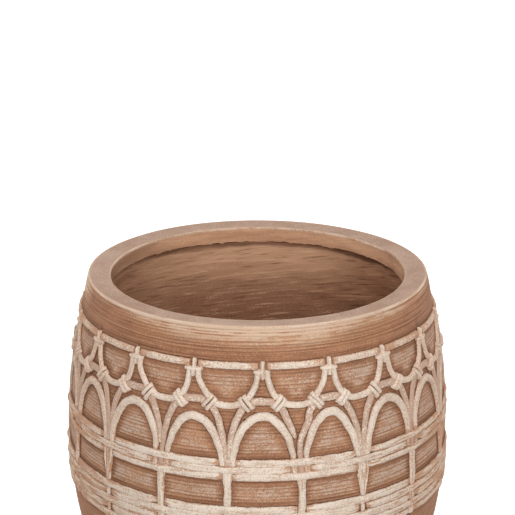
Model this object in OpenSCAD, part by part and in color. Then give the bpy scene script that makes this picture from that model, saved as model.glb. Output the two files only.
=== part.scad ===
// Terracotta vase with a wickerwork relief. A barrel wall stands on a floor slab and carries a
// thick rim ring. Strips of clay are laid on the wall: a rail with knots, hanging swags, two rows
// of arches, ties, upright stakes and two woven bands. The origin is the middle of the underside,
// and the front, with a knot at its middle, looks along -Y.

/* [Pot] */
// overall height
pot_h = 290; // [280:1:310]
// outer diameter at the top of the rim
rim_d = 300; // [292:1:306]
// outer diameter of the bare wall at its widest
belly_d = 339; // [334:1:350]
// height of the widest place
belly_z = 127; // [120:1:134]
// outer diameter of the underside, before its edge is rounded
base_d = 279; // [265:1:290]
// thickness of the wall at its widest place and below it
wall_t = 14; // [10:0.5:15]
// thickness of the wall where it meets the rim
neck_t = 21.5; // [18:0.5:23]
// thickness of the floor
floor_t = 14; // [10:0.5:20]
// rounding of the edge at the foot
foot_edge_r = 6; // [3:0.5:9]

/* [Rim] */
// height of the rim ring
rim_h = 15; // [12:0.5:18]
// thickness of the rim at its top
rim_t = 20; // [18:0.5:24]
// rounding of the worn outer edge
rim_edge_r = 1.5; // [1:0.5:4]
// rounding of the inner edge
mouth_edge_r = 1.5; // [1:0.5:4]

/* [Relief] */
// number of knots round the pot, an even number
repeats = 18; // [16:2:20]
// thickness of the strips that lie on the wall
strip_t = 2.4; // [2.2:0.1:2.8]
// thickness of the rougher outer arches
outer_t = 2; // [1.7:0.1:2.2]
// thickness of a strip where another one passes over it
pressed_t = 1.5; // [1.2:0.1:1.7]
// thickness of the clay that passes over another strip
over_t = 1.7; // [1.4:0.1:2.2]
// layer of slip between a strip and what it lies on
slip_t = 0.06; // [0.05:0.01:0.12]
// gap between strips that lie side by side
strip_gap = 0.3; // [0.2:0.05:0.4]

/* [Rail and knots] */
// from the top of the rim down to the middle of the rail
rail_drop = 30.6; // [28:0.2:32]
// height of the rail
rail_h = 5.4; // [4.6:0.2:6]
// break in the rail at a knot
rail_break = 7.4; // [6.6:0.2:9]
// length of a peg
peg_l = 14.6; // [13:0.2:16]
// width of a peg
peg_w = 3.2; // [2.6:0.2:3.6]
// from the middle of the rail down to the middle of a peg
peg_drop = 3.4; // [3:0.2:4]
// height of a cross bar
bar_h = 2.8; // [2.2:0.2:3.4]
// length of each end of a cross bar that bends down to the wall
bar_foot = 0.8; // [0.6:0.1:1.4]

/* [Swags] */
// from the top of the rim down to the bottom of a swag's middle line
swag_drop = 62.9; // [61.6:0.2:63.6]
// width of a swag at its bottom
swag_w = 4.2; // [3.6:0.1:4.6]
// width of a swag at its ends
swag_end_w = 3.5; // [3:0.1:3.8]
// between the ends of two swags at a knot, middle to middle
swag_gap = 8.8; // [8.4:0.1:9.4]
// how far a swag's sides are drawn in, as a share
swag_pinch = 0.08; // [0:0.01:0.1]

/* [Arches] */
// from the top of the rim down to the top of an outer arch's middle line
outer_drop = 59.6; // [59.2:0.2:60.4]
// width of an outer arch at its top
outer_w = 5.6; // [5:0.1:5.8]
// width of an outer arch's leg in a bundle
outer_leg_w = 2.2; // [1.8:0.1:2.4]
// squareness of an outer arch's shoulders, lower is squarer
outer_shoulder = 0.65; // [0.64:0.01:0.72]
// from the top of the rim down to the top of an inner arch's middle line
inner_drop = 71.8; // [71:0.2:73]
// width of an inner arch at its top
inner_w = 6; // [5.4:0.1:6.2]
// width of an inner arch's leg at its foot
leg_w = 2.9; // [2.6:0.1:3.1]
// height above the upper band at which every second outer leg stops
short_leg_end = 16; // [12:1:20]

/* [Ties] */
// width of one tie bar
tie_w = 3.5; // [2.8:0.1:3.8]
// length of each end of a tie bar that bends down to the wall
tie_foot = 1.5; // [1.2:0.1:2]

/* [Stakes and bands] */
// width of a stake under the upper band
stake_w = 6.8; // [5.8:0.1:7.2]
// width of a stake at its lower end
stake_end_w = 5.8; // [5:0.1:6.2]
// from the top of the rim down to the upper band
upper_band_drop = 109; // [108:0.5:111]
// height of one strand of the upper band
upper_strand_h = 5.95; // [5.4:0.05:6.2]
// from the top of the rim down to the lower band
lower_band_drop = 150.6; // [149:0.2:153]
// height of one strand of the lower band
lower_strand_h = 6.9; // [6.2:0.05:7.2]
// groove between two strands
groove = 0.2; // [0.15:0.05:0.3]
// width of the bare window in the upper band
window_w = 17; // [16:0.5:19]
// from the middle of a window to the middle of an inner leg
window_leg = 5.6; // [5.2:0.1:6]
// length over which a strand climbs onto a stake or tucks in beside one
ramp_l = 5; // [4:0.5:6]

/* [Hidden] */
$fn = 180;
arc_fn = 1440;
edge_fn = 96;
cutter_fn = 256;
outline_step = 8;
cut_over = 1;
arch_steps = 8;
swag_steps = 16;
strand_steps = 10;
hollow_steps = 4;
leg_taper = 1.3;
top_crowding = 1.5;
belly_r = belly_d / 2;
rim_inset = belly_r - rim_d / 2;
base_inset = belly_r - base_d / 2;
upper_arc_r = (pow(pot_h - belly_z, 2) + pow(rim_inset, 2)) / (2 * rim_inset);
lower_arc_r = (pow(belly_z, 2) + pow(base_inset, 2)) / (2 * base_inset);
cavity_r = belly_r - wall_t;
wall_top_z = pot_h - rim_h;
mouth_r = rim_d / 2 - rim_t;
bay_a = 360 / repeats;
pairs = repeats / 2;
rail_z = pot_h - rail_drop;
rail_low_z = rail_z - rail_h / 2;
peg_z = rail_z - peg_drop;
swag_top_z = rail_low_z - 2 * groove;
swag_low_z = pot_h - swag_drop;
outer_top_z = pot_h - outer_drop;
inner_top_z = pot_h - inner_drop;
upper_pitch = upper_strand_h + groove;
lower_pitch = lower_strand_h + groove;
upper_z = pot_h - upper_band_drop;
lower_z = pot_h - lower_band_drop;
lower_end_z = lower_z - 5 * lower_pitch + groove;
bundle_end_z = upper_z - upper_pitch + groove;
window_end_z = upper_z - 2 * upper_pitch + groove;
window_foot_z = upper_z + strip_t;
outer_leg_in = (outer_leg_w + strip_gap) / 2;
inner_leg_in = outer_leg_in + (outer_leg_w + leg_w) / 2 + 2 * strip_gap;
bundle_w = 2 * inner_leg_in + leg_w;
clay = [0.62, 0.44, 0.34];
lip_clay = [0.72, 0.59, 0.50];
wash = [0.88, 0.82, 0.75];
faint_wash = [0.80, 0.71, 0.63];

// part to draw, or all of them

// radius of the bare wall at height z
function wall_r(z) = let (arc = z > belly_z ? upper_arc_r : lower_arc_r)
    belly_r - arc + sqrt(pow(arc, 2) - pow(z - belly_z, 2));

// lean of the wall from the upright at height z, above the belly
function wall_lean(z) = asin((z - belly_z) / upper_arc_r);

// largest wall radius between two heights
function widest(z0, z1) = max(wall_r(z0), wall_r(z1), z0 < belly_z && z1 > belly_z ? belly_r : 0);

// angle round the pot that a length on the wall takes at height z
function turn(length, z) = length / wall_r(z) * 180 / PI;

// point on the wall at angle a from the front, height z, lifted by h
function on_wall(a, z, h) = let (r = wall_r(z) + h) [r * sin(a), -r * cos(a), z];

// soft step from 0 to 1 while x goes from start to stop
function ease(x, start, stop) =
    0.5 - 0.5 * cos(180 * min(1, max(0, (x - start) / (stop - start))));

// half outline of a barrel: its widest radius, and the radii of its upper and lower arcs
module barrel(widest_r, upper_r, lower_r) {
    intersection() {
        translate([widest_r - upper_r, belly_z]) circle(upper_r, $fn = arc_fn);
        translate([0, belly_z]) square([widest_r, pot_h - belly_z]);
    }
    intersection() {
        translate([widest_r - lower_r, belly_z]) circle(lower_r, $fn = arc_fn);
        square([widest_r, belly_z]);
    }
}

// slice of the pot's half outline between two heights
module barrel_slice(z0, z1) {
    intersection() {
        barrel(belly_r, upper_arc_r, lower_arc_r);
        translate([0, z0]) square([belly_r, z1 - z0]);
    }
}

// what a rounding of radius r takes off a corner at the origin, towards x and y below 0
module corner_off(r) {
    difference() {
        translate([-r, -r]) square(2 * r);
        translate([-r, -r]) circle(r, $fn = edge_fn);
    }
}

module body_wall() {
    neck_in = cavity_r - wall_r(wall_top_z) + neck_t;
    neck_arc_r = (pow(wall_top_z - belly_z, 2) + pow(neck_in, 2)) / (2 * neck_in);
    color(clay) rotate_extrude() difference() {
        barrel_slice(floor_t, wall_top_z);
        barrel(cavity_r, neck_arc_r, lower_arc_r - wall_t);
    }
}

module rim_ring() {
    color(lip_clay) rotate_extrude() difference() {
        barrel_slice(wall_top_z, pot_h);
        square([mouth_r, pot_h]);
        translate([wall_r(pot_h - rim_edge_r), pot_h]) corner_off(rim_edge_r);
        translate([mouth_r, pot_h]) mirror([1, 0]) corner_off(mouth_edge_r);
    }
}

module floor_slab() {
    color(clay) rotate_extrude() difference() {
        barrel_slice(0, floor_t);
        translate([wall_r(foot_edge_r), 0]) mirror([0, 1]) corner_off(foot_edge_r);
    }
}

// outline of the wall from z0 up to z1, clear of it by the slip
function wall_line(z0, z1) = let (steps = ceil((z1 - z0) / outline_step))
    [for (k = [0:steps]) let (z = z0 + (z1 - z0) * k / steps) [wall_r(z) + slip_t, z]];

// cuts the back of what is drawn between two heights to lie on the wall
module seated(z0, z1) {
    low = z0 - cut_over;
    high = z1 + cut_over;
    difference() {
        children();
        rotate_extrude($fn = cutter_fn) polygon([[0, low], each wall_line(low, high), [0, high]]);
    }
}

// copies turned to every knot
module at_knots() {
    for (i = [0:repeats - 1]) rotate(i * bay_a) children();
}

// copies turned to every second stake, the first one a number of bays from the front
module at_stakes(first) {
    for (i = [0:pairs - 1]) rotate((2 * i + first) * bay_a) children();
}

window_stake = 0.5;
bundle_stake = 1.5;

// upright slab at the front from an outline of [radius, height]
module upright(w) {
    rotate([90, 0, -90]) linear_extrude(w, center = true) children();
}

module rail() {
    z0 = rail_low_z;
    z1 = z0 + rail_h;
    edge = rail_h / 5;
    span = bay_a - turn(rail_break, rail_z);
    color(wash) at_knots() rotate((bay_a - span) / 2 - 90) rotate_extrude(angle = span) polygon([
        [wall_r(z0) + slip_t, z0],
        [wall_r(z0) + strip_t / 2, z0],
        [wall_r(z0 + edge) + strip_t, z0 + edge],
        [wall_r(z1 - edge) + strip_t, z1 - edge],
        [wall_r(z1) + strip_t / 2, z1],
        [wall_r(z1) + slip_t, z1]]);
}

module knot_pegs() {
    z0 = peg_z - peg_l / 2;
    z1 = peg_z + peg_l / 2;
    edge = peg_w / 2;
    color(wash) at_knots() upright(peg_w) polygon([
        each wall_line(z0, z1),
        [wall_r(z1) + strip_t / 2, z1],
        [wall_r(z1 - edge) + strip_t, z1 - edge],
        [wall_r(z0 + edge) + strip_t, z0 + edge],
        [wall_r(z0) + strip_t / 2, z0]]);
}

// outline of a staple that bridges strips: half its clear span, its feet, and its back at depth
function staple(clear, foot, under, depth) = let (
        half = clear + foot,
        top = under + over_t,
        right = [
            [clear, depth],
            [half, depth],
            [half, -strip_t],
            [clear, -top + over_t / 3],
            [clear - foot, -top]],
        left = [for (k = [len(right) - 1:-1:0]) [-right[k][0], right[k][1]]])
    concat([[-clear, -under], [clear, -under]], right, left);

module knot_bars() {
    z1 = rail_low_z - groove;
    z0 = z1 - bar_h;
    clear = (swag_gap + swag_end_w) / 2 + 2 * strip_gap;
    color(wash) seated(z0, z1) at_knots() translate([0, -wall_r(z0), z0]) linear_extrude(bar_h)
        polygon(staple(clear, bar_foot, strip_t + slip_t, strip_t));
}

// place across a strip, as a share of its half width, and lift, as a share of its thickness
SECTION = [[-1, 0], [-1, 0.5], [-0.6, 1], [0.6, 1], [1, 0.5], [1, 0]];

// strip along stations of [angle, height, half width, thickness]
module strip(stations) {
    last = len(stations) - 1;
    sides = len(SECTION);
    points = [for (i = [0:last]) let (
            s = stations[i],
            before = stations[max(0, i - 1)],
            after = stations[min(last, i + 1)],
            r = wall_r(s[1]),
            along = [(after[0] - before[0]) * r * PI / 180, after[1] - before[1]],
            across = [-along[1], along[0]] / norm(along) * s[2])
        for (p = SECTION)
            on_wall(s[0] + turn(across[0] * p[0], s[1]), s[1] + across[1] * p[0],
                slip_t + p[1] * (s[3] - slip_t))];
    skin = [for (i = [0:last - 1], k = [0:sides - 1]) let (
            a = i * sides + k,
            b = i * sides + (k + 1) % sides)
        each [[a, b, a + sides], [b, b + sides, a + sides]]];
    ends = [[for (k = [sides - 1:-1:0]) k], [for (k = [0:sides - 1]) last * sides + k]];
    polyhedron(points, concat(skin, ends), convexity = 6);
}

// station of a swag's middle line at q, from -90 at one end to 90 at the other
function swag_at(q) = let (reach = bay_a / 2 - turn(swag_gap / 2, swag_top_z))
    [bay_a / 2 + reach * sin(q) * (1 - swag_pinch * cos(q)),
        swag_top_z - (swag_top_z - swag_low_z) * cos(q),
        (swag_end_w + (swag_w - swag_end_w) * cos(q)) / 2, strip_t];

module swags() {
    line = [for (k = [0:swag_steps]) swag_at(180 * k / swag_steps - 90)];
    color(wash) at_knots() strip(line);
}

// station of an arch leg at q, from 0 at the arch's top to 90 at its foot, towards +X
function leg_at(q, reach, top_z, foot_z, top_w, foot_w, shoulder, thick) =
    [reach * pow(sin(q), shoulder), top_z - (top_z - foot_z) * (1 - cos(q)),
        (top_w + (foot_w - top_w) * pow(q / 90, leg_taper)) / 2, thick];

function inner_leg(reach, foot_z) = [for (k = [0:arch_steps])
    leg_at(90 * k / arch_steps, reach, inner_top_z, foot_z, inner_w, leg_w, 1, strip_t)];

function outer_at(q, reach = bay_a / 2 - turn(outer_leg_in, upper_z), foot_z = bundle_end_z,
    foot_w = outer_leg_w) = leg_at(q, reach, outer_top_z, foot_z, outer_w, foot_w, outer_shoulder,
    outer_t);

// pressed end of a leg that runs on under the upper band to the lower edge of the window
function tail(leg) = let (foot = leg[len(leg) - 1])
    [for (z = [upper_z, window_end_z]) [foot[0], z, foot[2], pressed_t]];

// whole arch from its bundle leg, on the left, and its window leg, on the right
function arch(bundle_leg, window_leg) = concat(
    [for (k = [len(bundle_leg) - 1:-1:1]) let (s = bundle_leg[k]) [-s[0], s[1], s[2], s[3]]],
    window_leg);

function mirrored(line) = [for (k = [len(line) - 1:-1:0]) let (s = line[k])
    [-s[0], s[1], s[2], s[3]]];

module inner_arches() {
    window_side = inner_leg(bay_a / 2 - turn(window_leg, upper_z), window_foot_z);
    line = arch(inner_leg(bay_a / 2 - turn(inner_leg_in, upper_z), bundle_end_z),
        concat(window_side, tail(window_side)));
    color(wash) {
        at_stakes(0) strip(line);
        at_stakes(1) strip(mirrored(line));
    }
}

// at a window, one of the two outer legs stops short and the other runs on through it
module outer_arches() {
    short_q = acos(1 - (outer_top_z - upper_z - short_leg_end) / (outer_top_z - bundle_end_z));
    shares = [for (k = [0:arch_steps]) pow(k / arch_steps, top_crowding)];
    bundle_side = [for (k = shares) outer_at(90 * k)];
    short_side = [for (k = shares) outer_at(short_q * k)];
    through_side = [for (k = shares) outer_at(90 * k, bay_a / 2, window_foot_z, leg_w)];
    color(faint_wash) {
        at_stakes(0) strip(arch(bundle_side, short_side));
        at_stakes(1) strip(mirrored(arch(bundle_side, concat(through_side, tail(through_side)))));
    }
}

// where a tie crosses a swag and an outer arch, as places q along their middle lines
tie_swag_q = -31;
tie_arch_q = 20;

// tie of two bars across a swag and an outer arch, on the right of a knot
module tie() {
    s = swag_at(tie_swag_q);
    a = outer_at(tie_arch_q);
    z = (s[1] + a[1]) / 2;
    across = [(s[0] - a[0]) * wall_r(z) * PI / 180, s[1] - a[1]];
    clear = norm(across) / 2 + max(s[2], a[2]) + 4 * strip_gap;
    rotate((s[0] + a[0]) / 2) translate([0, -wall_r(z), z]) rotate([-wall_lean(z), 0, 0])
        rotate([0, -atan2(across[1], across[0]), 0]) for (row = [-0.5, 0.5])
            translate([0, 0, row * (tie_w + groove)]) linear_extrude(tie_w, center = true)
                polygon(staple(clear, tie_foot, strip_t + 3 * slip_t, strip_t));
}

module right_ties() {
    reach = 3 * (swag_w + tie_foot);
    mid_z = (swag_at(tie_swag_q)[1] + outer_at(tie_arch_q)[1]) / 2;
    color(wash) seated(mid_z - reach, mid_z + reach) at_knots() tie();
}

module left_ties() {
    mirror([1, 0, 0]) right_ties();
}

function upper_row(i) = let (top = upper_z - (i - 1) * upper_pitch) [top - upper_strand_h, top];
function lower_row(i) = let (top = lower_z - (i - 1) * lower_pitch) [top - lower_strand_h, top];

// stake from z1 down to the end of the lower band, pressed flat under the rows that pass over it
module stake(z1, rows) {
    z0 = lower_end_z;
    lift = strip_t - pressed_t;
    steps = [for (b = rows) each [[b[1] + lift, strip_t], [b[1], pressed_t], [b[0], pressed_t],
        [b[0] - lift, strip_t]]];
    front = [for (p = steps) if (p[0] < z1 && p[0] > z0) [wall_r(p[0]) + p[1], p[0]]];
    end_t = rows[len(rows) - 1][0] <= z0 ? pressed_t : strip_t;
    intersection() {
        upright(stake_w) polygon([
            each wall_line(z0, z1),
            [wall_r(z1) + pressed_t, z1],
            each front,
            [wall_r(z0) + end_t, z0]]);
        rotate([90, 0, 0]) linear_extrude(belly_d) polygon([[-stake_w / 2, z1],
            [stake_w / 2, z1], [stake_end_w / 2, z0], [-stake_end_w / 2, z0]]);
    }
}

module bundle_stakes() {
    top_z = bundle_end_z - groove;
    color(wash) at_stakes(bundle_stake)
        stake(top_z, [upper_row(2), lower_row(1), lower_row(3), lower_row(5)]);
}

module window_stakes() {
    top_z = window_end_z - groove;
    color(wash) at_stakes(window_stake)
        stake(top_z, [upper_row(3), lower_row(2), lower_row(4)]);
}

// pieces of one woven strand: each passes over a stake and tucks in at the next one on each side
module strand(row, over_stake, under_w, tuck_w) {
    r = widest(row[0], row[1]);
    ramp = turn(ramp_l, row[0]);
    hump = turn(under_w / 2 + 2 * strip_gap, row[0]);
    reach = bay_a - turn(tuck_w / 2 + strip_gap, row[0]);
    under = pressed_t + 2 * slip_t;
    front = [for (k = [-strand_steps:strand_steps]) let (a = k / strand_steps * reach, d = abs(a))
        [a, strip_t + (under + over_t - strip_t) * (1 - ease(d, hump, hump + ramp))
            - (strip_t - pressed_t) * ease(d, reach - ramp, reach)]];
    hollow = [for (k = [hollow_steps:-1:-hollow_steps]) [k / hollow_steps * hump, under]];
    back = [[reach, -strip_t], [hump, -strip_t], each hollow, [-hump, -strip_t], [-reach, -strip_t]];
    color(wash) seated(row[0], row[1]) at_stakes(over_stake) translate([0, 0, row[0]])
        linear_extrude(row[1] - row[0])
            polygon([for (p = concat(front, back)) (r + p[1]) * [sin(p[0]), -cos(p[0])]]);
}

module upper_strand(i) {
    legs_w = 2 * window_leg + leg_w;
    if (i == 1) strand(upper_row(i), window_stake, legs_w, bundle_w + 3 * strip_gap);
    if (i == 2) strand(upper_row(i), bundle_stake, stake_w, window_w);
    if (i == 3) strand(upper_row(i), window_stake, stake_w, stake_w);
}

module lower_strand(i) {
    strand(lower_row(i), i % 2 == 1 ? bundle_stake : window_stake, stake_w, stake_w);
}

body_wall();
rim_ring();
floor_slab();
rail();
knot_pegs();
knot_bars();
swags();
outer_arches();
inner_arches();
left_ties();
right_ties();
bundle_stakes();
window_stakes();
for (i = [1:3]) upper_strand(i);
for (i = [1:5]) lower_strand(i);
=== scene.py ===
import math

import bmesh
import bpy
import numpy as np
from mathutils.kdtree import KDTree
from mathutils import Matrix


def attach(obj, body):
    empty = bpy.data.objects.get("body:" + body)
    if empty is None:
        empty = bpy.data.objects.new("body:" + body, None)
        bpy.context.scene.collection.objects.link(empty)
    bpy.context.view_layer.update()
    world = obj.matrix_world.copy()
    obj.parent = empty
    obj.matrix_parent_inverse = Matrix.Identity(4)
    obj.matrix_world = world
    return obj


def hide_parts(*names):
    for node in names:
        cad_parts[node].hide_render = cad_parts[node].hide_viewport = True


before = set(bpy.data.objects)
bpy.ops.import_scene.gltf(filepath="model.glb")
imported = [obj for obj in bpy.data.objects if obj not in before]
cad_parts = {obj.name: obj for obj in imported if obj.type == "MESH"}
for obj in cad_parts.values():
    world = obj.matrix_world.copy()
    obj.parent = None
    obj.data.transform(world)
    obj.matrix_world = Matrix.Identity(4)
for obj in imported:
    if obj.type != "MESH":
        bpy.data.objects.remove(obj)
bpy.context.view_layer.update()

# Sizes of the pot, in millimetres, with heights above the floor
POT_H, RIM_R, BELLY_R, BELLY_Z, BASE_R = 290, 150, 169.5, 127, 139.5
WALL_T, NECK_T, FLOOR_T, FOOT_EDGE_R = 14, 21.5, 14, 6
RIM_H, MOUTH_R, RIM_EDGE_R, MOUTH_EDGE_R, RIM_TILT = 15, 130, 1.5, 1.5, 1.3
WALL_TOP_Z = POT_H - RIM_H
UPPER_ARC_R = ((POT_H - BELLY_Z) ** 2 + (BELLY_R - RIM_R) ** 2) / (2 * (BELLY_R - RIM_R))
LOWER_ARC_R = (BELLY_Z ** 2 + (BELLY_R - BASE_R) ** 2) / (2 * (BELLY_R - BASE_R))
SEEN_DEPTH_Z, RIDGE_Z, SEAM_H = 190, 254, 3.4

# Sizes of the wickerwork. A bay is the angle from one knot to the next.
KNOTS = 18
BAY = 2 * math.pi / KNOTS
STRIP_T, OUTER_T, PRESSED_T, OVER_T = 2.4, 2.0, 1.5, 1.7
GAP, GROOVE = 0.3, 0.2
RAIL_Z, RAIL_H, RAIL_BREAK, RAIL_SHRINK = 259.4, 5.4, 7.4, 0.25
PEG_Z, PEG_L, PEG_W, PEG_PROUD = 256.0, 14.6, 2.8, 0.8
BAR_H, BAR_FOOT = 2.8, 0.8
SWAG_TOP_Z, SWAG_LOW_Z = RAIL_Z - RAIL_H / 2 - 2 * GROOVE, 226.3
SWAG_W, SWAG_END_W, SWAG_GAP, SWAG_FULL = 4.7, 4.0, 8.2, 0.08
OUTER_TOP_Z, OUTER_W, OUTER_LEG_W, OUTER_SHOULDER = 230.4, 6.0, 2.2, 0.65
INNER_TOP_Z, INNER_W, LEG_W = 218.2, 6.3, 2.9
LEG_TAPER, LEG_SWELL = 2.8, 1.1
SHORT_LEG_END, BROKEN_LEG_END = 7, 18
TIE_W, TIE_PITCH, TIE_LEAN, TIE_OFF, TIE_Z, TIE_HALF_L = 3.0, 3.9, 39, 13.1, 228.6, 7.1
# Reach of the painted shade round each tie, and how far it fades in and out, in millimetres
TIE_SHADE_REACH, SHADE_IN, SHADE_OUT = 4.1, 0.8, 1.2
STAKE_W, STAKE_END_W = 6.8, 5.8
UPPER_Z, UPPER_STRAND_H = 181, 5.95
LOWER_Z, LOWER_STRAND_H = 139.4, 6.9
STRAND_SWELL, RIGHT_GAP, LEFT_GAP, RAMP_L = 0.12, 0.42, 0.2, 5
WINDOW_W, WINDOW_LEG, WINDOW_SLIP_T = 17, 5.6, 1.0
UPPER_PITCH, LOWER_PITCH = UPPER_STRAND_H + GROOVE, LOWER_STRAND_H + GROOVE
LOWER_END_Z = LOWER_Z - 5 * LOWER_PITCH + GROOVE
BUNDLE_END_Z = UPPER_Z - UPPER_STRAND_H
WINDOW_END_Z = UPPER_Z - 2 * UPPER_PITCH + GROOVE
WINDOW_FOOT_Z = UPPER_Z + STRIP_T
OUTER_LEG_IN = (OUTER_LEG_W + GAP) / 2
INNER_LEG_IN = OUTER_LEG_IN + (OUTER_LEG_W + LEG_W) / 2 + 2 * GAP
BUNDLE_W = 2 * INNER_LEG_IN + LEG_W
JOINED_L = 14
WINDOW_STAKE, BUNDLE_STAKE = 0.5, 1.5
STRAIGHT_STAKE = KNOTS // 2 - 1

# Steps of the meshes
COLUMNS, ROW_STEP, RIM_ROW_STEP, LIP_ROW_STEP, INNER_ROW_STEP, DEEP_ROW_STEP = 480, 0.75, 0.5, 0.9, 1.1, 4
STATION_STEP, END_L = 0.9, 1.9
END_STATIONS = np.array([0, 0.12, 0.35, 0.7, 1.2])
EDGE_STEPS, FOOT_STEPS = 7, 8

# First seed of each kind of strip, and how far apart the seeds of its sides or strands are
RAIL_SEED, PEG_SEED, BAR_SEED, SWAG_SEED = 100, 200, 300, 400
INNER_SEED, JOINED_SEED, OUTER_SEED, TIE_SEED = 500, 540, 600, 700
BUNDLE_SEED, WINDOW_SEED, SLIP_SEED, UPPER_SEED, LOWER_SEED = 800, 840, 860, 900, 1000
TIE_SIDE_SEEDS, SPREAD_SIDE_SEEDS, STRAND_SEEDS = 40, 30, 20

# How far the work of the hand strays: waves in millimetres, and shares of a strip's width and thickness
DRIFT_WAVE, WIDTH_WAVE, THICK_WAVE = 26, 15, 19
WIDTH_STRAY, THICK_STRAY = 0.045, 0.05
COMB_DEPTH, COMB_REACH = 0.42, 4

# Wash in the seams of a strand and how far apart strands lie, up to so many bays from the front
STRAND_SEAMS = ((1, 0.25, 0), (2, 0.1, 0.6), (KNOTS, 0, 1))

# Where looks of the turned surfaces fade in, in millimetres. PALE_RUN is heights and their drop at the front
FAR_FROM_STRIPS, FROST_CLEAR = 30.0, (1.5, 9)
PALE_LEFT_Z, PALE_RUN = (266, 284), ((283, 19), (298, 4))
RIDGE_BACK, SEAM_LEFT, SHADOWED_HOLLOW_LEFT = (95, 135), (60, 125), (10, 110)


def wall_r(z):
    """Radius of the bare wall at height z."""
    z = np.asarray(z, float)
    arc = np.where(z > BELLY_Z, UPPER_ARC_R, LOWER_ARC_R)
    return BELLY_R - arc + np.sqrt(arc ** 2 - (z - BELLY_Z) ** 2)


def around(a, r, z):
    """Points at angle a from the front, radius r and height z."""
    return np.stack(np.broadcast_arrays(r * np.sin(a), -r * np.cos(a), z), -1)


def on_pot(a, z, lift):
    """Points at angle a and height z, lifted off the wall."""
    return around(a, wall_r(z) + lift, z)


def axes_of(points):
    return points[..., 0], points[..., 1], points[..., 2]


def turn(length, z):
    """Angle round the pot that a length on the wall takes at height z."""
    return length / wall_r(z)


def ease(x, start, stop):
    """Soft step from 0 to 1 while x goes from start to stop."""
    t = np.clip((np.asarray(x, float) - start) / (stop - start), 0, 1)
    return t * t * (3 - 2 * t)


def lumps(points, size, seed):
    """Smooth seeded noise from -1 to 1, with lumps of about that size in millimetres."""
    p = points / np.asarray(size, float)
    cell = np.floor(p).astype(np.int64)
    f = p - cell
    f = f * f * (3 - 2 * f)
    total = np.zeros(p.shape[:-1])
    for corner in np.ndindex(2, 2, 2):
        x, y, z = axes_of(cell + corner)
        h = (x * 73856093 ^ y * 19349663 ^ z * 83492791 ^ seed * 40503) & 0x7FFFFFFF
        h = (h ^ (h >> 13)) * 1274126177 & 0x7FFFFFFF
        h = (h ^ (h >> 15)) * 668265263 & 0x7FFFFFFF
        total += ((h ^ (h >> 14)) / 2 ** 30 - 1) * np.prod(np.where(corner, f, 1 - f), axis=-1)
    return total


def wander(s, rng, wave):
    """Slow seeded drift from about -1 to 1 along a length s, with waves about that long."""
    return sum(np.sin(s * 2 * math.pi / (wave * k) + rng.uniform(0, 7)) for k in (0.5, 1, 1.9)) / 2.2


def placed(name, data):
    """New object in the scene."""
    thing = bpy.data.objects.new(name, data)
    bpy.context.scene.collection.objects.link(thing)
    return thing


class Skin:
    """Points, faces and marks of one piece, gathered patch by patch, with a place on its map for each."""

    def __init__(self):
        self.points, self.faces, self.map, self.marks = [], [], [], {}
        self.count, self.laid = 0, 0

    def patch(self, grid, round_rows=False, **marks):
        """Adds a grid of points whose columns close into a ring. Rows close too, or end in flat caps."""
        n, m = grid.shape[:2]
        index = self.count + np.arange(n * m).reshape(n, m)
        rows = n if round_rows else n - 1
        i, j = np.meshgrid(np.arange(rows), np.arange(m), indexing="ij")
        i2, j2 = (i + 1) % n, (j + 1) % m
        quads = np.stack([index[i, j], index[i, j2], index[i2, j2], index[i2, j]], -1).reshape(-1, 4)
        u = np.stack([i, i, i + 1, i + 1], -1).reshape(-1, 4) / rows
        v = np.stack([j, j + 1, j + 1, j], -1).reshape(-1, 4) / m
        self.faces += quads.tolist()
        self.map.append(np.stack([0.02 + 0.96 * u, self.laid + 0.04 + 0.92 * v], -1).reshape(-1, 2))
        if not round_rows:
            ring = np.arange(m) * 2 * math.pi / m
            cap_u, cap_v = 0.006 * np.cos(ring), self.laid + 0.5 + 0.3 * np.sin(ring)
            for row, middle_u in ((index[0][::-1], 0.01), (index[-1], 0.99)):
                self.faces.append(row.tolist())
                self.map.append(np.stack([middle_u + cap_u, cap_v], -1))
        self.points.append(grid.reshape(-1, 3))
        for name, value in marks.items():
            self.marks.setdefault(name, []).append(np.broadcast_to(value, (n, m)).reshape(-1))
        self.count += n * m
        self.laid += 1

    def piece(self, name, finish, slot, *nodes):
        """Makes the object, which stands for these CAD nodes."""
        mesh = bpy.data.meshes.new(name)
        mesh.from_pydata((np.concatenate(self.points) / 1000).tolist(), [], self.faces)
        places = np.concatenate(self.map) / np.array([1, self.laid])
        mesh.uv_layers.new(name="OFBake").data.foreach_set("uv", places.ravel())
        for mark, values in self.marks.items():
            mesh.attributes.new(mark, "FLOAT", "POINT").data.foreach_set("value", np.concatenate(values))
        form = bmesh.new()
        form.from_mesh(mesh)
        bmesh.ops.remove_doubles(form, verts=form.verts, dist=1e-7)
        bmesh.ops.recalc_face_normals(form, faces=form.faces)
        form.to_mesh(mesh)
        form.free()
        mesh.polygons.foreach_set("use_smooth", np.ones(len(mesh.polygons), bool))
        mesh.materials.append(finish)
        piece = placed(name, mesh)
        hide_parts(*nodes)
        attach(piece, "root")


# Strips of clay. A line has one row for each station: angle, height, half width, thickness, how far its
# upper and lower edge drop, as shares of the thickness, and how much of its wash is gone, where values
# above 1 also paint the strip in shade.
ANGLE, HEIGHT, HALF, THICK, UPPER_DROP, LOWER_DROP, WEAR_AND_SHADE = range(7)
ACROSS = np.array([-1, -0.94, -0.8, -0.55, -0.2, 0.2, 0.55, 0.8, 0.94, 1])

# Slip at the foot of a strip, in three rows: how far each lies out from the edge, the lift of the outer two,
# and the wash on each
SKIRT, SKIRT_LIFT, SKIRT_WASH = np.array([1.3, 0.5, 0.08]), (-0.45, 0.06), np.array([-1, -0.5, 0])
laid_lines = []

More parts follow.
